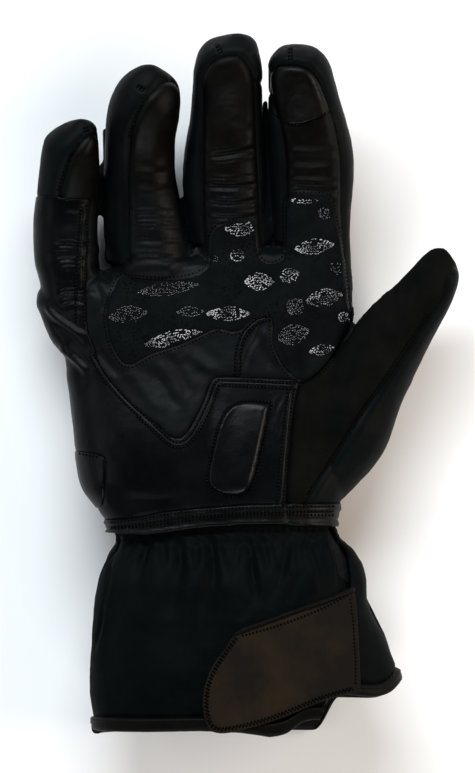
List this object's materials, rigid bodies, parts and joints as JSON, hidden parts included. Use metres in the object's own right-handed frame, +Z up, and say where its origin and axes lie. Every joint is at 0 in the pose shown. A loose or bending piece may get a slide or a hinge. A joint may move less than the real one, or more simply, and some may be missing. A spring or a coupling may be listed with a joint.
{
  "type": "motorcycle gauntlet",
  "caption": "Right-hand padded riding glove with a flared, gathered cuff, a closing strap, a suede grip panel and a raised heel pad, lying palm up.",
  "frame": {"origin": "middle of the surface that the back of the glove lies on, under the middle of its outline", "axes": "+X across the hand towards the thumb, +Y from the hem of the cuff to the fingertips, +Z up out of the palm"},
  "size_m": [0.1802, 0.2932, 0.0638],
  "materials": {
    "leather": "grained aniline leather with a soft bluish sheen",
    "suede": "napped synthetic suede",
    "softshell": "matt woven softshell",
    "cuff_fabric": "matt woven stretch fabric",
    "binding": "folded woven binding",
    "nubuck": "brushed nubuck"
  },
  "bodies": {
    "root": {"palm_leather": "leather", "outer_hand_panel": "leather", "edge_patch": "leather", "heel_pad": "leather", "wrist_band": "leather", "index_touch_tip": "leather", "grip_panel": "suede", "thumb_palm_panel": "suede", "little_ring_fourchette": "softshell", "ring_middle_fourchette": "softshell", "middle_index_fourchette": "softshell", "back_shell": "softshell", "thumb_back_panel": "softshell", "cuff_palm_panel": "cuff_fabric", "cuff_back_panel": "cuff_fabric", "cuff_gusset": "cuff_fabric", "hem_binding": "binding", "wrist_strap": "nubuck"}
  },
  "joints": []
}
